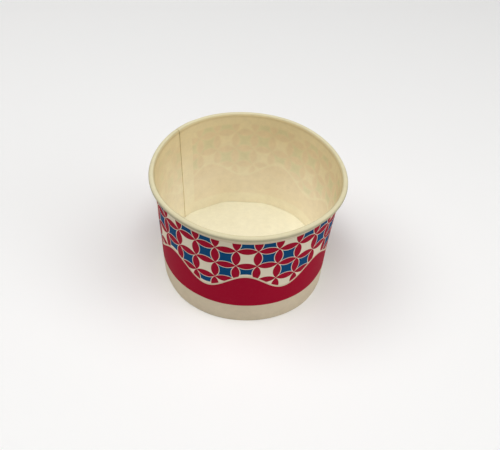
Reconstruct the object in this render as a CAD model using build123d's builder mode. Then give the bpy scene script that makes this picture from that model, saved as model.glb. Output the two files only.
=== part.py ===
from build123d import *
from math import asin, atan2, cos, degrees, hypot, radians, sin, tan
import os

# Paper dessert cup. All lengths are in millimetres.
# The origin is the middle of the foot, on the surface that the cup stands on, with +Z up.
# The cup is two pieces of paperboard: a side wall and a bottom.

# Overall sizes
rim_radius = 45.5      # outermost reach of the rolled rim
foot_radius = 38.8     # outer face of the wall, where its line meets the table
cup_height = 59.0      # table to the top of the rolled rim
floor_height = 5.1     # table to the upper face of the bottom

# Boards
wall_board = 0.35      # thickness of the wall's board
bottom_board = 0.30    # thickness of the bottom's board

# Rolled rim
roll_radius = 1.25     # outer radius of the roll
roll_gap = 0.06        # air between the roll's tucked edge and the wall
tuck_turn = 30.0       # degrees that the edge turns on past a full roll
half_roll_chords = 5   # straight chords that stand for half a turn of the roll

# Side seam
seam_turn = 132.3      # where the outer raw edge stands, in degrees from +X
seam_lap = 6.7         # width of the glued overlap, halfway up

# Foot
hem_height = 4.2       # table to the raw edge of the turned-in hem
fold_bend = 0.05       # inner radius of the pressed fold
fit_gap = 0.06         # room on each side of the bottom's skirt, inside the hem
skirt_clearance = 0.3  # skirt's raw edge to the fold, at the seam where the fold is thickest
skirt_bend = 0.35      # inner radius between the bottom's disc and its skirt
fold_chords = 1        # straight chords at each corner of the pressed fold
bend_chords = 2        # straight chords between the bottom's disc and its skirt

# Worked out from the sizes above
roll_centre_x = rim_radius - roll_radius
roll_centre_z = cup_height - roll_radius
roll_reach = hypot(roll_centre_x - foot_radius, roll_centre_z)
lean = degrees(
    atan2(roll_centre_x - foot_radius, roll_centre_z)
    - asin((roll_radius - wall_board) / roll_reach)
)
layer = wall_board / cos(radians(lean))          # one thickness of the wall, measured level
pocket = bottom_board + 2 * fit_gap              # room between the wall and its hem
seam_pocket = pocket - fit_gap / 2               # the same where the seam's extra layer squeezes it
middle_radius = (rim_radius + foot_radius) / 2
lap_turn = degrees(seam_lap / middle_radius)
half_turn = 180.0
disc_height = floor_height - bottom_board / 2    # middle of the disc's thickness
skirt_depth = wall_board + pocket / 2            # wall's outer face to the middle of the skirt
skirt_end = 2 * wall_board + skirt_clearance     # height of the skirt's raw edge
slit_turn = degrees(fit_gap / foot_radius)       # half of the slit in the skirt at the seam

# The wall laps over itself, so it closes as a spiral about two centres.
# The first half turn goes about the cup's axis, and the second about one half a layer nearer.
seam_direction = Vector(1, 0, 0).rotate(Axis.Z, seam_turn)
first_centre = Vector(0, 0, 0)
second_centre = seam_direction * (-layer / 2)


def upright(turn, centre):
    """The upright plane at a turn round the cup from the seam, with its origin on a centre."""
    outward = seam_direction.rotate(Axis.Z, turn)
    return Plane(centre, x_dir=outward, z_dir=outward.cross(Vector(0, 0, 1)))


def turning_axis(centre):
    """The upright axis through a centre."""
    return Axis(centre, (0, 0, 1))


def wall_line(height, depth, shift):
    """The point at a height on the line that runs at a depth inside the wall's outer face."""
    reach = foot_radius - shift - depth / cos(radians(lean)) + height * tan(radians(lean))
    return Vector(reach, height)


def arc_points(start, centre, turn, chords):
    """Points from a start round a centre, a turn apart in equal chords."""
    spoke = start - centre
    return [centre + spoke.rotate(Axis.Z, turn * step / chords) for step in range(chords + 1)]


def bend_points(before, corner, after, bend, chords):
    """Points that take a corner of the board's middle line round a bend of some radius."""
    back = (before - corner).normalized()
    onward = (after - corner).normalized()
    half_corner = radians(back.get_angle(onward) / 2)
    start = corner + back * (bend / tan(half_corner))
    centre = corner + (back + onward).normalized() * (bend / sin(half_corner))
    turn = (back * -1).get_signed_angle(onward, Vector(0, 0, 1))
    return arc_points(start, centre, turn, chords)


def wall_section(board, roll, room, shift):
    """The wall's board in section: hem, pressed fold, leaning side and rolled rim."""
    fold_middle = fold_bend + board / 2
    roll_middle = roll - board / 2
    tuck_middle = roll_middle - (board + roll_gap) / 2
    hem_edge = wall_line(hem_height, board + room + board / 2, shift)
    inner_corner = wall_line(board / 2, board + room + board / 2, shift)
    outer_corner = wall_line(board / 2, board / 2, shift)
    roll_start = wall_line(cup_height - roll + roll_middle * sin(radians(lean)), board / 2, shift)
    outward = Vector(1, 0).rotate(Axis.Z, -lean)
    over = arc_points(roll_start, roll_start + outward * roll_middle, -half_turn, half_roll_chords)
    tuck_chords = round(half_roll_chords * (half_turn + tuck_turn) / half_turn)
    tuck_centre = over[-1] - outward * tuck_middle
    tuck = arc_points(over[-1], tuck_centre, -half_turn - tuck_turn, tuck_chords)
    with BuildLine() as board_line:
        Polyline(
            hem_edge,
            *bend_points(hem_edge, inner_corner, outer_corner, fold_middle, fold_chords),
            *bend_points(inner_corner, outer_corner, roll_start, fold_middle, fold_chords),
            *over,
            *tuck[1:],
        )
    trace(board_line.line, board)


def bottom_section(shift):
    """The bottom's board in section: half of the flat disc, its bend and its skirt."""
    middle = Vector(0, disc_height)
    corner = wall_line(disc_height, skirt_depth, shift)
    skirt_edge = wall_line(skirt_end, skirt_depth, shift)
    bend = bend_points(middle, corner, skirt_edge, skirt_bend + bottom_board / 2, bend_chords)
    with BuildLine() as board_line:
        Polyline(middle, *bend, skirt_edge)
    trace(board_line.line, bottom_board)


# Side wall
# One blank of board, lapped and glued down the seam, hemmed at the foot and rolled at the rim.
with BuildPart() as side_wall:
    with BuildSketch(upright(lap_turn, first_centre)):
        wall_section(wall_board, roll_radius, pocket, 0)
    revolve(axis=turning_axis(first_centre), revolution_arc=half_turn - lap_turn)
    with BuildSketch(upright(half_turn, second_centre)):
        wall_section(wall_board, roll_radius, pocket, layer / 2)
    revolve(axis=turning_axis(second_centre), revolution_arc=half_turn)
    # Along the seam both layers are folded and rolled together, so the board is twice as thick
    with BuildSketch(upright(0, first_centre)):
        wall_section(2 * wall_board, roll_radius + wall_board / 2, seam_pocket, 0)
    revolve(axis=turning_axis(first_centre), revolution_arc=lap_turn)
side_wall.part.label = "side_wall"

# Bottom
# A disc of board with its edge turned down as a skirt, gripped between the wall and its hem.
# At the seam's inner raw edge the skirt steps out by one layer, and is slit there.
with BuildPart() as bottom:
    with BuildSketch(upright(lap_turn + slit_turn, first_centre)):
        bottom_section(0)
    revolve(axis=turning_axis(first_centre), revolution_arc=half_turn - lap_turn - slit_turn)
    with BuildSketch(upright(half_turn, second_centre)):
        bottom_section(layer / 2)
    revolve(axis=turning_axis(second_centre), revolution_arc=half_turn)
    with BuildSketch(upright(0, first_centre)):
        bottom_section(layer)
    revolve(axis=turning_axis(first_centre), revolution_arc=lap_turn - slit_turn)
    # The slit stops at the bend, and the flat of the disc is whole
    bend_reach = wall_line(disc_height, skirt_depth, layer).X - skirt_bend - bottom_board
    with BuildSketch(Plane.XY.offset(floor_height - bottom_board)):
        Circle(bend_reach)
    extrude(amount=bottom_board)
bottom.part.label = "bottom"

os.makedirs("parts", exist_ok=True)
export_step(side_wall.part, "parts/side_wall.step")
export_step(bottom.part, "parts/bottom.step")
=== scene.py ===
from math import asin, atan2, cos, degrees, hypot, pi, radians, sin, tan, tau
import bmesh
import bpy
import numpy as np
from mathutils import Matrix, Vector


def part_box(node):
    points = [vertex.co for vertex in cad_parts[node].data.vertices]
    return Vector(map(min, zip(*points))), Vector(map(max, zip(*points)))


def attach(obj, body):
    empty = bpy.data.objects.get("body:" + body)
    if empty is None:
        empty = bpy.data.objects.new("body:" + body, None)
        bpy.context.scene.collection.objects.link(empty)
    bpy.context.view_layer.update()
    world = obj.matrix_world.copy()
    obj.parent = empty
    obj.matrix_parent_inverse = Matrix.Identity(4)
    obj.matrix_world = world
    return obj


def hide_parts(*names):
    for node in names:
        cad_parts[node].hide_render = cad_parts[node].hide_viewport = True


# Paper dessert cup: a printed side wall with a rolled rim, and a plain bottom gripped in its hem
# Everything is in metres, with the foot on z = 0

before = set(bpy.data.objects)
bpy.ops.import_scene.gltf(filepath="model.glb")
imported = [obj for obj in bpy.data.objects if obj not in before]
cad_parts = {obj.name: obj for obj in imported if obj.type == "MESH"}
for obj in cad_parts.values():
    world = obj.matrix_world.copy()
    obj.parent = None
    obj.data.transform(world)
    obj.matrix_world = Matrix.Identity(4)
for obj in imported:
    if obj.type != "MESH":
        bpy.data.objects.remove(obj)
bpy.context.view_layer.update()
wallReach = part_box("side_wall")[1]
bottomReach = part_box("bottom")[1]
print("frame loaded, side wall reaches", [round(size * 1000, 1) for size in wallReach], "mm")


# Camera and light

view = {
    "spot": (0.0, -0.30302, 0.31058),   # where the photo was taken from
    "aimHeight": 0.059,                 # the camera first looks at the middle of the rim,
    "swing": 0.0060,                    # then turns this far right
    "tip": -0.0632,                     # and this far down,
    "roll": 0.0712,                     # and leans, all in radians
    "lens": 62.58,                      # mm, on film of this width
    "film": 36,
    "nearest": 0.01,                    # nothing nearer than this is drawn
}


def placeCamera(setup):
    spot = Vector(setup["spot"])
    swing, tip = setup["swing"], setup["tip"]
    ahead = (Vector((0, 0, setup["aimHeight"])) - spot).normalized()
    right = Vector((1, 0, 0))
    over = right.cross(ahead)
    ahead = ahead * cos(swing) * cos(tip) + right * sin(swing) + over * sin(tip)
    cameraData = bpy.data.cameras.new("camera")
    cameraData.lens = setup["lens"]
    cameraData.sensor_width = setup["film"]
    cameraData.clip_start = setup["nearest"]
    camera = bpy.data.objects.new("camera", cameraData)
    turn = ahead.to_track_quat("-Z", "Y").to_matrix().to_4x4() @ Matrix.Rotation(setup["roll"], 4, "Z")
    camera.matrix_world = Matrix.Translation(spot) @ turn
    bpy.context.collection.objects.link(camera)
    bpy.context.scene.camera = camera


# Soft light from overhead, made of lamps to the left, right and front, and a low one on the right
lamps = {
    "left": {"spot": (-0.5, 0.0, 0.95), "size": 0.8, "watts": 4.9},
    "right": {"spot": (0.5, 0.0, 0.95), "size": 0.8, "watts": 3.0},
    "front": {"spot": (0.0, -0.28, 1.03), "size": 0.5, "watts": 4.0},
    "lowRight": {"spot": (1.0, -0.3, 0.5), "size": 0.8, "watts": 2.25},
}
lampAim = (0, 0, 0.03)
roomLight = {"tint": (1.0, 1.0, 1.0), "strength": 0.02}


def hangLamp(name, setup):
    lampData = bpy.data.lights.new(name, "AREA")
    lampData.shape = "DISK"
    lampData.size = setup["size"]
    lampData.energy = setup["watts"]
    lamp = bpy.data.objects.new(name, lampData)
    lamp.location = setup["spot"]
    lamp.rotation_euler = (Vector(lampAim) - lamp.location).to_track_quat("-Z", "Y").to_euler()
    bpy.context.collection.objects.link(lamp)


def fillRoom(setup):
    world = bpy.data.worlds.new("room")
    bpy.context.scene.world = world
    world.use_nodes = True
    background = world.node_tree.nodes["Background"]
    background.inputs["Color"].default_value = (*setup["tint"], 1)
    background.inputs["Strength"].default_value = setup["strength"]


placeCamera(view)
for lampName, lampSetup in lamps.items():
    hangLamp(lampName, lampSetup)
fillRoom(roomLight)
bpy.context.scene.view_settings.view_transform = "Standard"
print("camera and lamps set")


# Shader maths

class Tone:
    # Wraps a shader socket, so that shader maths reads as plain arithmetic

    def __init__(self, socket):
        self.socket = socket

    @staticmethod
    def node(tree, kind, settings, values, output=0):
        made = tree.nodes.new(kind)
        for name, setting in settings.items():
            setattr(made, name, setting)
        for key, value in values.items():
            if isinstance(value, Tone):
                tree.links.new(value.socket, made.inputs[key])
            else:
                made.inputs[key].default_value = value
        return Tone(made.outputs[output])

    def maths(self, operation, first, second=0.0):
        tree = self.socket.id_data
        return Tone.node(tree, "ShaderNodeMath", {"operation": operation}, {0: first, 1: second})

    def __add__(self, other):
        return self.maths("ADD", self, other)

    def __radd__(self, other):
        return self.maths("ADD", other, self)

    def __sub__(self, other):
        return self.maths("SUBTRACT", self, other)

    def __rsub__(self, other):
        return self.maths("SUBTRACT", other, self)

    def __mul__(self, other):
        return self.maths("MULTIPLY", self, other)

    def __rmul__(self, other):
        return self.maths("MULTIPLY", other, self)

    def __truediv__(self, other):
        return self.maths("DIVIDE", self, other)

    def __pow__(self, other):
        return self.maths("POWER", self, other)

    def __mod__(self, other):
        return self.maths("FLOORED_MODULO", self, other)

    def __abs__(self):
        return self.maths("ABSOLUTE", self)

    def floor(self):
        return self.maths("FLOOR", self)

    def sine(self):
        return self.maths("SINE", self)

    def angleFrom(self, other):
        # The angle of the point (other, self) round the origin
        return self.maths("ARCTAN2", self, other)

    def least(self, other):
        return self.maths("MINIMUM", self, other)

    def most(self, other):
        return self.maths("MAXIMUM", self, other)

    def rise(self, low, high):
        # 0 below low, 1 above high, and a smooth step between
        settings = {"interpolation_type": "SMOOTHSTEP"}
        values = {"Value": self, "From Min": low, "From Max": high}
        return Tone.node(self.socket.id_data, "ShaderNodeMapRange", settings, values)

    def dot(self, other):
        tree, settings = self.socket.id_data, {"operation": "DOT_PRODUCT"}
        return Tone.node(tree, "ShaderNodeVectorMath", settings, {0: self, 1: other}, "Value")

    def pick(self, off, on):
        # The colour off where this mask is 0, and on where it is 1
        off, on = (colour if isinstance(colour, Tone) else (*colour, 1) for colour in (off, on))
        values = {"Factor": self, 6: off, 7: on}
        return Tone.node(self.socket.id_data, "ShaderNodeMix", {"data_type": "RGBA"}, values, 2)

    def tint(self, colour):
        # This colour multiplied by another
        colour = colour if isinstance(colour, Tone) else (*colour, 1)
        settings = {"data_type": "RGBA", "blend_type": "MULTIPLY"}
        values = {"Factor": 1.0, 6: self, 7: colour}
        return Tone.node(self.socket.id_data, "ShaderNodeMix", settings, values, 2)


# Sizes of the two boards

cup = {
    "footRadius": 0.0388,   # outer face of the wall, where its line meets the table
    "rimRadius": 0.0455,    # outermost reach of the rolled rim
    "height": 0.059,        # table to the top of the rolled rim
    "floor": bottomReach[2],
}
wall = {
    "board": 0.00035,       # thickness
    "roll": 0.00133,        # outer radius of the rolled rim
    "rollGap": 0.00006,     # air between the tucked edge and the wall
    "tuck": 30.0,           # degrees that the rolled edge turns on past a full roll
    "hem": 0.0042,          # height of the turned-in hem
    "foldBend": 0.00008,    # inner radius of the pressed fold
    "seamTurn": 132.3,      # where the outer raw edge stands, degrees from +X
    "lap": 0.0067,          # width of the glued overlap
    "lapAtFoot": 0.3,       # degrees that the overlap is wider than that at the foot
    "lapAtRim": 1.5,        # and at the rim
    "slantTurn": 30,        # degrees before the overlap over which that slant sets in
    "climbTurn": 7.0,       # and over which the inner layer climbs onto the outer one
    "climbRoll": 0.5,       # its roll grows by this share of the board's thickness there,
    "climbTop": 0.0001,     # and stands this much higher
    "wrapBefore": 3.0,      # from so many degrees before the inner raw edge
    "wrapAfter": 4.0,       # to so many after it, the outer layer eases back to a single one
    "wrapRoll": 0.55,       # inside the other, its roll is smaller by this share of the thickness,
    "wrapTop": 0.00027,     # and stands this much lower
    "sections": 433,        # sections round the cup
    "lapSections": 12,      # and along the overlap
    "hemPoints": 4,         # points along each part of a section
    "foldPoints": 5,
    "sidePoints": 26,
    "rollPoints": 17,
}
base = {
    "board": 0.00030,       # thickness
    "fitGap": 0.00006,      # room on each side of the skirt, inside the hem
    "skirtBend": 0.00015,   # inner radius between the disc and its skirt
    "skirtLift": 0.0003,    # the skirt's raw edge to the fold, at the seam where that is thickest
    "bow": 0.0001,          # how far the disc bows up in the middle
    "stepTurn": 3.0,        # degrees over which the skirt steps out past the wall's inner raw edge
    "sections": 360,
    "discPoints": 26,
    "bendPoints": 7,
    "skirtPoints": 4,
}
# How far the light board stands off a true circle: metres, waves round the cup, degrees to their crest
offRound = {
    "rim": ((-0.00035, 0, 0), (0.00009, 1, -40), (0.00011, 2, -43), (0.00030, 3, -13), (0.00018, 5, -16)),
    "foot": ((0.00037, 0, 0), (0.00053, 1, 30), (0.00023, 2, -78), (0.00010, 3, 54), (0.00024, 4, -36)),
    "middle": ((-0.00012, 0, 0), (-0.00028, 1, 0), (0.00006, 7, -3)),
    "floorEdge": ((0.00016, 6, 4), (0.00019, 9, -18), (0.00029, 12, -13)),
    "floorEdgeReach": 0.009,   # how far up and down the wall the flats of the floor's edge can be seen
    "floorEdgeSide": 93,       # the side of the cup that has most of them, degrees from +X
    "fullFrom": 0.95,          # it is taken up in full from this share of the foot's radius outwards
}
meshCare = {
    "merge": 1e-7,          # points nearer than this become one
    "sliver": 1e-8,         # and edges shorter than this go
    "sharpTurn": 50,        # edges that turn more than this many degrees stay sharp
}

pocket = base["board"] + 2 * base["fitGap"]      # room between the wall and its hem
rollInset = cup["rimRadius"] - wall["roll"] - cup["footRadius"]
rollHeight = cup["height"] - wall["roll"]
lean = atan2(rollInset, rollHeight) - asin((wall["roll"] - wall["board"]) / hypot(rollInset, rollHeight))
layer = wall["board"] / cos(lean)                # one thickness of the wall, measured level
lapTurn = degrees(wall["lap"] / ((cup["rimRadius"] + cup["footRadius"]) / 2))
slope = np.array([cos(lean), -sin(lean)])        # straight out from the leaning wall


def eased(value, low, high):
    share = np.clip((value - low) / (high - low), 0, 1)
    return share * share * (3 - 2 * share)


def waves(terms, angle):
    return sum(size * np.cos(count * (angle - radians(crest))) for size, count, crest in terms)


def wander(angle, height):
    share = np.clip(height / cup["height"], 0, 1)
    nearFloor = np.exp(-((height - cup["floor"]) / offRound["floorEdgeReach"]) ** 2)
    pressed = 0.5 + 0.5 * np.cos(angle - radians(offRound["floorEdgeSide"]))
    return (waves(offRound["foot"], angle) * (1 - share) + waves(offRound["rim"], angle) * share
            + waves(offRound["middle"], angle) * np.sin(pi * share)
            + waves(offRound["floorEdge"], angle) * nearFloor * pressed)


# Sections of the two boards

def arc(centre, radius, start, turn, count):
    # Points round a bend, with its start and its turn in degrees
    steps = np.radians(start + turn * np.linspace(0, 1, count))
    return np.stack([centre[0] + radius * np.cos(steps), centre[1] + radius * np.sin(steps)], axis=-1)


def straight(first, last, count):
    share = np.linspace(0, 1, count)[:, None]
    return first * (1 - share) + last * share


def twoFaces(middle, thickness):
    # The two faces of a board whose middle line is given
    along = np.gradient(middle, axis=0)
    along /= np.linalg.norm(along, axis=1)[:, None]
    aside = np.stack([along[:, 1], -along[:, 0]], axis=1) * thickness / 2
    return middle + aside, middle - aside


def wallMiddle(shift, room, lift, roll, top, layers):
    # The middle line of the wall's board at one turn round the cup, from the hem to the tucked edge;
    # room is the hem's, lift is the fold's off the table, and layers is how many the roll takes in
    half = wall["board"] / 2
    fold = wall["foldBend"] + half

    def onWall(height, depth):
        return np.array([cup["footRadius"] - shift - depth / cos(lean) + height * tan(lean), height])

    hemDepth = wall["board"] + room + half
    rollMiddle = roll - half
    tuckMiddle = rollMiddle - (wall["board"] * layers + wall["rollGap"]) / 2
    innerLeg, outerLeg = onWall(lift + half + fold, hemDepth), onWall(lift + half + fold, half)
    innerBend = arc(innerLeg + (fold, 0), fold, 180, 90, wall["foldPoints"])
    outerBend = arc(outerLeg - (fold, 0), fold, 270, 90, wall["foldPoints"])
    rollStart = onWall(top - roll + rollMiddle * sin(lean), half)
    over = arc(rollStart + rollMiddle * slope, rollMiddle, 180 - degrees(lean), -180, wall["rollPoints"])
    tuckCentre = over[-1] - tuckMiddle * slope
    tuck = arc(tuckCentre, tuckMiddle, -degrees(lean), -180 - wall["tuck"], wall["rollPoints"])
    return np.concatenate([
        straight(onWall(wall["hem"], hemDepth), innerLeg, wall["hemPoints"])[:-1],
        innerBend, outerBend,
        straight(outerLeg, rollStart, wall["sidePoints"])[1:-1],
        over, tuck[1:],
    ])


def bottomMiddle(shift):
    # The middle line of the bottom's board at one turn, from the middle of the disc to the skirt's edge
    discHeight = cup["floor"] - base["board"] / 2
    depth = wall["board"] + pocket / 2
    bend = base["skirtBend"] + base["board"] / 2
    reach = cup["footRadius"] - shift - depth / cos(lean)
    bendStart = reach + discHeight * tan(lean) - bend
    skirtEdge = 2 * wall["board"] + base["skirtLift"]
    disc = straight(np.array([0.0, discHeight]), np.array([bendStart, discHeight]), base["discPoints"])
    disc[:, 1] += base["bow"] * (1 - (disc[:, 0] / bendStart) ** 2)
    over = arc((bendStart, discHeight - bend), bend, 90, -90 - degrees(lean), base["bendPoints"])
    skirtFoot = np.array([reach + skirtEdge * tan(lean), skirtEdge])
    return np.concatenate([disc[:-1], over, straight(over[-1], skirtFoot, base["skirtPoints"])[1:]])


# Meshes of the two boards

def skinMesh(name, turns, rings, closed, slide=0.0):
    # A mesh from a board's two faces at each turn round the cup, in degrees from the seam
    # Slide says how far each turn goes along with the slant of the seam's inner edge, from 0 to 1
    faceA, faceB = rings
    count, points = faceA.shape[:2]
    loop = np.concatenate([faceA, faceB[:, ::-1]], axis=1)
    out, up = loop[..., 0], loop[..., 1]
    slant = wall["lapAtFoot"] + (wall["lapAtRim"] - wall["lapAtFoot"]) * up / cup["height"]
    angles = np.radians(wall["seamTurn"] + turns[:, None] + slide * slant)
    radius = out + wander(angles, up) * np.clip(out / (offRound["fullFrom"] * cup["footRadius"]), 0, 1)
    spots = np.stack([radius * np.cos(angles), radius * np.sin(angles), up], axis=-1)
    around = 2 * points
    spotIndex = np.arange(count * around).reshape(count, around)
    faces = []
    for step in range(count if closed else count - 1):
        here, there = spotIndex[step], spotIndex[(step + 1) % count]
        for spot in range(around):
            onward = (spot + 1) % around
            faces.append((here[spot], there[spot], there[onward], here[onward]))
    if not closed:
        for end, row in enumerate((spotIndex[0], spotIndex[-1])):
            for spot in range(points - 1):
                quad = (row[spot], row[spot + 1], row[around - 2 - spot], row[around - 1 - spot])
                faces.append(quad[::-1] if end else quad)
    mesh = bpy.data.meshes.new(name)
    mesh.from_pydata(spots.reshape(-1, 3).tolist(), [], faces)
    piece = bpy.data.objects.new(name, mesh)
    bpy.context.collection.objects.link(piece)
    return piece


def tidyMesh(piece):
    work = bmesh.new()
    work.from_mesh(piece.data)
    bmesh.ops.remove_doubles(work, verts=work.verts, dist=meshCare["merge"])
    bmesh.ops.dissolve_degenerate(work, edges=work.edges, dist=meshCare["sliver"])
    bmesh.ops.recalc_face_normals(work, faces=work.faces)
    work.to_mesh(piece.data)
    work.free()
    piece.data.shade_smooth()
    piece.data.set_sharp_from_angle(angle=radians(meshCare["sharpTurn"]))


def makeSideWall():
    alongLap = 360 + np.linspace(0, lapTurn, wall["lapSections"])[1:]
    turns = np.concatenate([np.linspace(0, 360, wall["sections"]), alongLap])
    sections = []
    for turn in turns:
        # The outer layer wraps the inner one at the start, and the inner one climbs onto it at the end
        wrap = 1 - float(eased(turn, lapTurn - wall["wrapBefore"], lapTurn + wall["wrapAfter"]))
        climb = float(eased(turn, 360 - wall["climbTurn"], 360))
        middle = wallMiddle(
            shift=layer * min(turn / 360, 1),
            room=pocket + 2 * layer * wrap,
            lift=wall["board"] * climb,
            roll=wall["roll"] + wall["board"] * (wall["climbRoll"] * climb - wall["wrapRoll"] * wrap),
            top=cup["height"] + wall["climbTop"] * climb - wall["wrapTop"] * wrap,
            layers=1 + max(climb, wrap),
        )
        sections.append(twoFaces(middle, wall["board"]))
    rings = [np.array([faces[side] for faces in sections]) for side in (0, 1)]
    slide = eased(turns, 360 - wall["slantTurn"], 360)[:, None]
    piece = skinMesh("sideWall", turns, rings, closed=False, slide=slide)
    tidyMesh(piece)
    return piece


def makeBottom():
    turns = np.linspace(0, 360, base["sections"], endpoint=False)
    sections = []
    for turn in turns:
        pastLap = float(eased(turn, lapTurn, lapTurn + base["stepTurn"]))
        middle = bottomMiddle(layer * max(1 - pastLap, turn / 360))
        sections.append(twoFaces(middle, base["board"]))
    rings = [np.array([faces[side] for faces in sections]) for side in (0, 1)]
    for ring in rings:
        ring[:, 0, 0] = 0.0      # the middle of the disc
    piece = skinMesh("cupBottom", turns, rings, closed=True)
    tidyMesh(piece)
    return piece


# Finish of the boards

paper = {
    "insideLowLit": (0.995, 0.93, 0.75),   # the wall's inner face near the floor, with painted light from the bright floor
    "insideHighShaded": (0.93, 0.795, 0.50),  # and near the rim, with painted shade
    "insideShadeHeights": (0.018, 0.062),    # the first turns into the second between these heights
    "outside": (0.77, 0.666, 0.495),
    "ground": (0.86, 0.775, 0.605),     # the unprinted board between the petals
    "bottom": (0.83, 0.80, 0.63),       # the bottom's upper face
    # The raw edges of the seam, raw board darkened with painted shade
    "rawEdgeShade": (0.74, 0.64, 0.42),
    "rollEdgeShade": (0.50, 0.42, 0.26),     # the raw edge where it runs over the roll, with deeper painted shade
    "roll": (0.80, 0.855, 0.905),       # the rolled rim multiplies the board's colour by this painted shade,
    "rollSideShade": (0.70, 0.70, 0.70),     # the roll's outer side by this painted shade,
    "rollInnerShade": (0.81, 0.775, 0.70),   # its inner side by this painted shade,
    "cloud": (0.965, 0.955, 0.94),      # and the clouds in the stock by this
    "clouds": {"Scale": 60.0, "Detail": 3.0, "Roughness": 0.6},
    "cloudNoise": (0.35, 0.7),          # the clouds set in between these values of their noise
    "mottling": {"Scale": 330.0, "Detail": 4.0, "Roughness": 0.75},
    "mottle": 0.20,                     # how far the mottling moves the board's brightness
    "fibres": {"Scale": 900.0, "Detail": 3.0, "Roughness": 0.7},
    "grainFibres": 0.4,                 # this share of the grain is fibres, and the rest clouds
    "grainDepth": 0.00006,
    "grainStrength": 0.25,
    "roughness": 0.55,
    "roughnessSpread": 0.10,            # how far the fibres move it
    "gloss": 0.03,
    "refraction": 1.45,
}
# How far outwards a face looks, from -1 to 1, where each of these sets in and where it is complete
looksOut = {
    "outerFace": (-0.1, 0.1),
    "printedFace": (0.3, 0.5),
    "leavesInside": (-0.5, -0.3),
    "roll": (-1.0, -0.5),
    "rollSideShade": (0.70, 1.0),
    "leavesRollInner": (-0.75, -0.35),
    "leavesRawEdge": (0.25, 0.45),
}
# The same for how far upwards it looks
looksUp = {
    "leavesRawEdge": (0.3, 0.5),
    "bottomTop": (-0.6, -0.2),
}
printed = {
    "crimson": (0.395, 0.002, 0.027),
    "blue": (0.0006, 0.069, 0.198),
    "grain": 0.01,            # how much of the board shows through the ink
    "grainNoise": (0.45, 0.75),
    "columns": 27.85,         # cells round the cup; not a whole number, so the print breaks at the seam
    "firstColumn": -0.36,     # where in a column the blank was cut
    "rowHeight": 0.0096,      # height of a cell
    "top": 0.0533,            # upper edge of the print
    "petal": 0.70,            # radius of the circles that make the petals, in cells
    "diamond": 0.735,         # the diamonds between them keep clear of these circles
    "bareCells": 3.0,         # one cell in so many has no diamond
    "diamondGap": 0.0022,     # no part of a diamond comes nearer to the wave
    "bandLow": 0.0111,        # lower edge of the solid band
    "waveHeight": 0.0265,     # its upper edge is a wave about this height,
    "waveRise": 0.0047,       # which goes this far up and down,
    "waveColumns": 4,         # is this many columns long
    "waveStart": 1.5,         # and rises from this column
    "keyline": 0.0011,        # bare board along the wave
    "edge": 0.00006,          # how far an edge of ink blurs
    "rollUnder": 0.0564,      # above this the board's inner face is outermost
    "hemTop": 0.0046,         # below this its outer face is turned in
    "turnOver": 0.0001,       # height over which the faces change places there
    "rollBlend": 0.0004,      # height over which the roll's painted shade sets in
    "rollInnerShade": (0.0566, 0.0582),  # and heights between which the painted shade on its inner side does
}
ghost = {
    "crimson": (0.950, 0.905, 0.895),
    "blue": (0.89, 0.925, 0.885),
    "blur": 0.0009,             # how far its edges blur
    "least": 0.62,              # how strongly it shows at the foot,
    "heights": (0.006, 0.046),  # and it gains its full strength between these heights
    "lessBacklitSide": 190,             # it is painted weaker on this side, degrees from +X, for less light shining through the wall there,
    "dim": 0.6,                 # by this share,
    "dimReach": (0.4, 0.9),     # which sets in between these cosines of the angle to that side
    "seamBlur": 0.004,          # radians each way over which it begins past the overlap
}


def speckle(tree, place, noise):
    return Tone.node(tree, "ShaderNodeTexNoise", {}, {"Vector": place, **noise}, "Fac")


def waveAt(across):
    # The height of the wave at a place counted in columns
    phase = (across - printed["waveStart"]) * (tau / printed["waveColumns"])
    return printed["waveHeight"] + printed["waveRise"] * phase.sine()


def printMasks(z, fromSeam, soft):
    # The masks of the crimson ink, the blue ink and the patterned zone, with edges that blur by soft
    cell = printed["rowHeight"]
    across = fromSeam * (printed["columns"] / tau) + printed["firstColumn"]
    up = (z - printed["top"]) / cell + 0.5
    column, row = across.floor(), up.floor()
    nearX = abs(across % 1.0 - 0.5)
    nearY = abs(up % 1.0 - 0.5)
    tall = ((1 - nearX) ** 2 + nearY ** 2) ** 0.5
    wide = (nearX ** 2 + (1 - nearY) ** 2) ** 0.5
    nearest = tall.least(wide)

    def past(value, limit, blur=soft):
        return value.rise(limit - blur, limit + blur)

    petals = 1 - past(nearest, printed["petal"], soft / cell)
    diamonds = past(nearest, printed["diamond"], soft / cell)
    aboveWave = z - waveAt(across)
    cellAboveWave = row * cell + printed["top"] - waveAt(column + 0.5)
    inked = past((column + row) % printed["bareCells"], 0.5, 0.1)
    inked = inked * cellAboveWave.rise(0.0, soft)       # no slivers of diamonds along the wave
    inPattern = past(aboveWave, printed["keyline"]) * (1 - past(z, printed["top"]))
    inBand = (1 - past(aboveWave, 0.0)) * past(z, printed["bandLow"])
    clear = past(aboveWave, printed["diamondGap"])
    return (petals * inPattern).most(inBand), diamonds * inked * inPattern * clear, inPattern


def throughTheWall(z, turn, fromSeam, outward):
    # How strongly the print shows on the inside, which is not at all where the board is double
    lapNarrow, lapWide = (radians(lapTurn + wall[end]) for end in ("lapAtFoot", "lapAtRim"))
    innerEdge = lapNarrow + z * ((lapWide - lapNarrow) / cup["height"])
    single = (fromSeam - innerEdge).rise(-ghost["seamBlur"], ghost["seamBlur"])
    fade = ghost["least"] + (1 - ghost["least"]) * z.rise(*ghost["heights"])
    # Painted light: the print shows through less where less light comes through the wall
    lessBacklitSide = (turn - radians(ghost["lessBacklitSide"] - 90)).sine().rise(*ghost["dimReach"])
    inside = 1 - outward.rise(*looksOut["leavesInside"])
    return inside * single * fade * (1 - ghost["dim"] * lessBacklitSide)


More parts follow.
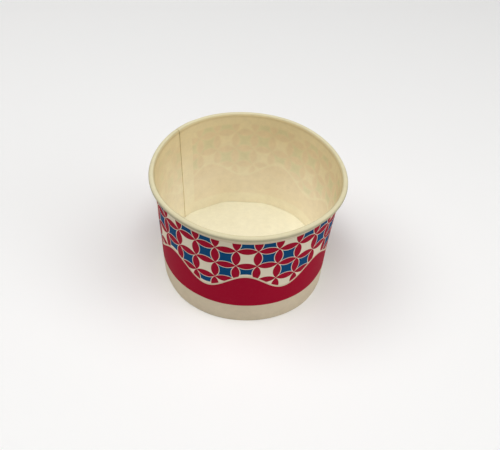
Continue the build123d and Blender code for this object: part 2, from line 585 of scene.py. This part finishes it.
def printedColour(stock, fibres, z, turn, outward, upward):
    under, hemTop, turnOver = printed["rollUnder"], printed["hemTop"], printed["turnOver"]
    outerFace = outward.rise(*looksOut["outerFace"]) * (1 - z.rise(under - turnOver, under))
    outerFace = outerFace.most(1 - z.rise(hemTop - turnOver, hemTop))
    # The inner face's colour carries painted shade, darker and warmer from the floor up to the rim
    colour = z.rise(*paper["insideShadeHeights"]).pick(paper["insideLowLit"], paper["insideHighShaded"])
    colour = stock(outerFace.pick(colour, paper["outside"]))
    # The rolled rim, darkened with painted shade, more so on its outer and inner sides
    onRoll = z.rise(under, under + printed["rollBlend"])
    # Painted shade on the roll's inner side and the wall just below it
    innerSideShade = z.rise(*printed["rollInnerShade"]) * (1 - outward.rise(*looksOut["leavesRollInner"]))
    # Painted shade over the roll
    colour = (onRoll * outward.rise(*looksOut["roll"])).pick(colour, colour.tint(paper["roll"]))
    # Painted shade on the roll's outer side
    colour = (onRoll * outward.rise(*looksOut["rollSideShade"])).pick(colour, colour.tint(paper["rollSideShade"]))
    colour = innerSideShade.pick(colour, colour.tint(paper["rollInnerShade"]))
    # The print outside, and what shows of it inside
    fromSeam = (turn - radians(wall["seamTurn"])) % tau
    crimson, blue, pattern = printMasks(z, fromSeam, printed["edge"])
    outside = outward.rise(*looksOut["printedFace"])
    ink = outside * (1 - printed["grain"] * fibres.rise(*printed["grainNoise"]))
    colour = (pattern * outside).pick(colour, paper["ground"])
    colour = (crimson * ink).pick(colour, printed["crimson"])
    colour = (blue * ink).pick(colour, printed["blue"])
    ghostCrimson, ghostBlue = printMasks(z, fromSeam, ghost["blur"])[:2]
    inside = throughTheWall(z, turn, fromSeam, outward)
    colour = (ghostCrimson * inside).pick(colour, colour.tint(ghost["crimson"]))
    colour = (ghostBlue * inside).pick(colour, colour.tint(ghost["blue"]))
    # The raw edges of the seam: raw board, darkened with painted shade for the gap beside them
    rawEdgeShade = 1 - abs(outward).rise(*looksOut["leavesRawEdge"])
    rawEdgeShade = rawEdgeShade * (1 - abs(upward).rise(*looksUp["leavesRawEdge"]))
    return rawEdgeShade.pick(colour, onRoll.pick(paper["rawEdgeShade"], paper["rollEdgeShade"]))


def boardMaterial(name, withPrint):
    material = bpy.data.materials.new(name)
    material.use_nodes = True
    tree = material.node_tree
    shader = tree.nodes["Principled BSDF"]
    # Where a point is, and where its face looks
    spot = Tone.node(tree, "ShaderNodeTexCoord", {}, {}, "Object")
    x, y, z = (Tone.node(tree, "ShaderNodeSeparateXYZ", {}, {0: spot}, axis) for axis in "XYZ")
    facing = Tone.node(tree, "ShaderNodeNewGeometry", {}, {}, "True Normal")
    flat = Tone.node(tree, "ShaderNodeCombineXYZ", {}, {"X": x, "Y": y})
    outward = facing.dot(Tone.node(tree, "ShaderNodeVectorMath", {"operation": "NORMALIZE"}, {0: flat}))
    upward = Tone.node(tree, "ShaderNodeSeparateXYZ", {}, {0: facing}, "Z")
    # The stock: large clouds, fine mottling and single fibres
    clouds, mottling, fibres = (speckle(tree, spot, paper[kind]) for kind in ("clouds", "mottling", "fibres"))
    shade = 1 + paper["mottle"] * (mottling - 0.5)
    mottled = Tone.node(tree, "ShaderNodeCombineColor", {}, {"Red": shade, "Green": shade, "Blue": shade})

    def stock(colour):
        return clouds.rise(*paper["cloudNoise"]).pick(colour, colour.tint(paper["cloud"])).tint(mottled)

    if withPrint:
        colour = printedColour(stock, fibres, z, y.angleFrom(x), outward, upward)
    else:
        colour = stock(upward.rise(*looksUp["bottomTop"]).pick(paper["outside"], paper["bottom"]))
    roughness = paper["roughness"] + paper["roughnessSpread"] * (fibres - 0.5)
    grain = fibres * paper["grainFibres"] + clouds * (1 - paper["grainFibres"])
    bumpValues = {"Strength": paper["grainStrength"], "Distance": paper["grainDepth"], "Height": grain}
    bump = Tone.node(tree, "ShaderNodeBump", {}, bumpValues, "Normal")
    tree.links.new(colour.socket, shader.inputs["Base Color"])
    tree.links.new(roughness.socket, shader.inputs["Roughness"])
    tree.links.new(bump.socket, shader.inputs["Normal"])
    shader.inputs["IOR"].default_value = paper["refraction"]
    shader.inputs["Specular IOR Level"].default_value = paper["gloss"]
    return material


# Table

table = {"half": 3.0, "colour": (0.98, 0.975, 0.965), "roughness": 0.8}


def layTable():
    half = table["half"]
    corners = [(-half, -half, 0), (half, -half, 0), (half, half, 0), (-half, half, 0)]
    mesh = bpy.data.meshes.new("table")
    mesh.from_pydata(corners, [], [(0, 1, 2, 3)])
    top = bpy.data.objects.new("table", mesh)
    bpy.context.collection.objects.link(top)
    material = bpy.data.materials.new("paleTable")
    material.use_nodes = True
    shader = material.node_tree.nodes["Principled BSDF"]
    shader.inputs["Base Color"].default_value = (*table["colour"], 1)
    shader.inputs["Roughness"].default_value = table["roughness"]
    mesh.materials.append(material)


layTable()
print("table laid")

sideWall = makeSideWall()
sideWall.data.materials.append(boardMaterial("printedBoard", True))
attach(sideWall, "root")
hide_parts("side_wall")
print("side wall made")

cupBottom = makeBottom()
cupBottom.data.materials.append(boardMaterial("plainBoard", False))
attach(cupBottom, "root")
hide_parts("bottom")
print("bottom made")
